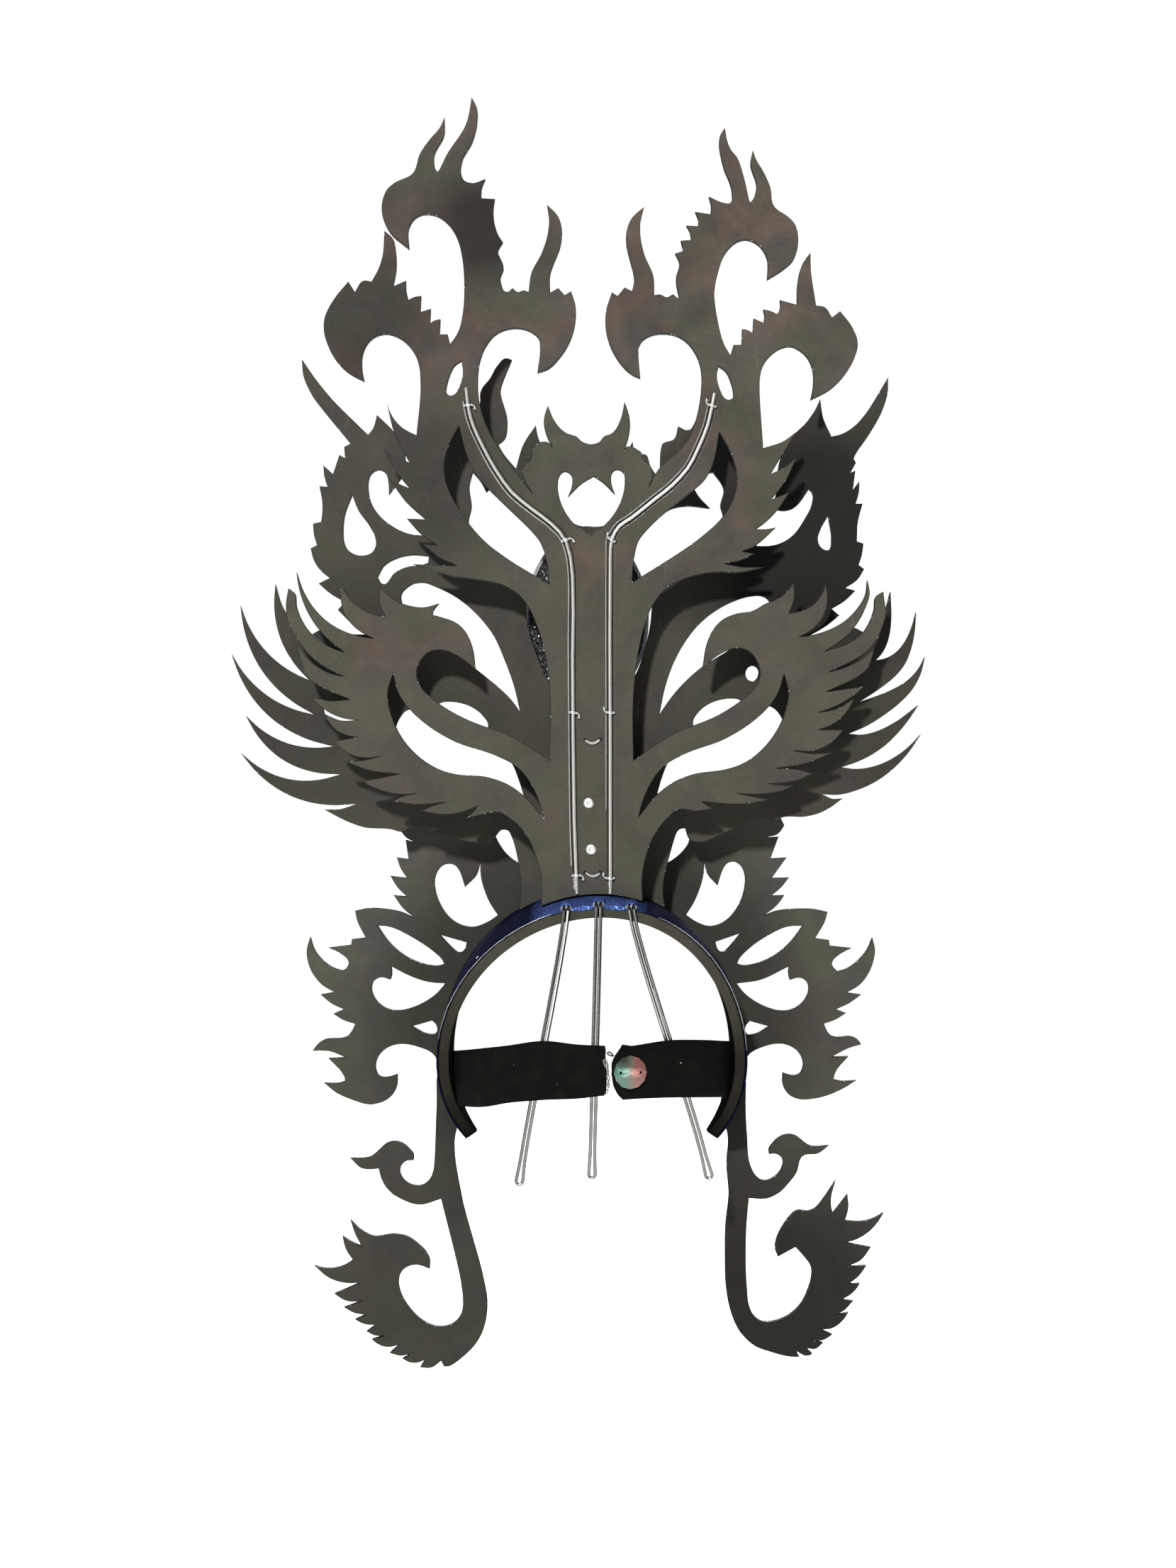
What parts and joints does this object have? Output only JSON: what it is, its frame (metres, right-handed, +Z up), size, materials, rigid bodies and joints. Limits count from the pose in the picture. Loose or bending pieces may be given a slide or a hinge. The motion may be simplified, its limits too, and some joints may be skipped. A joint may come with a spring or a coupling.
{
  "type": "carnival crown",
  "caption": "Layered foam carnival crown on a padded half-ring arch, with sawn dragon and bird outlines, wire stiffeners, hairpin prongs and a buttoned strap.",
  "frame": {"origin": "the head seat: the inner top of the padded arch at its front edge, on the centre plane", "axes": "+Z up from the wearer's head, -Y the way the wearer looks, +X to the right in a view of the front (the picture shows the back, from +Y, with +X at its left)"},
  "size_m": [0.4378, 0.112, 0.8003],
  "materials": {
    "panel_foam": "matte closed-cell foam, mottled",
    "arch_foam": "matte grey foam",
    "glitter_cloth": "royal blue glitter cloth",
    "glitter_foam": "black glitter face",
    "backing_sheet": "pale translucent sheet",
    "steel_wire": "bright drawn wire",
    "rivet_metal": "satin",
    "elastic": "black woven elastic",
    "crystal": "clear facets with a rainbow coating"
  },
  "bodies": {
    "root": {"back_panel": "panel_foam", "wing_panel": "panel_foam", "side_panel": "panel_foam", "panel_spacer": "panel_foam", "head_band": "arch_foam", "band_cover": "glitter_cloth", "centre_medallion": "glitter_foam", "medallion_backing": "backing_sheet", "spine_rod_left": "steel_wire", "spine_rod_right": "steel_wire", "prong_left": "steel_wire", "prong_middle": "steel_wire", "prong_right": "steel_wire", "rivet_upper": "rivet_metal", "rivet_lower": "rivet_metal", "strap_left": "elastic", "strap_right": "elastic", "crystal_button": "crystal"}
  },
  "joints": []
}
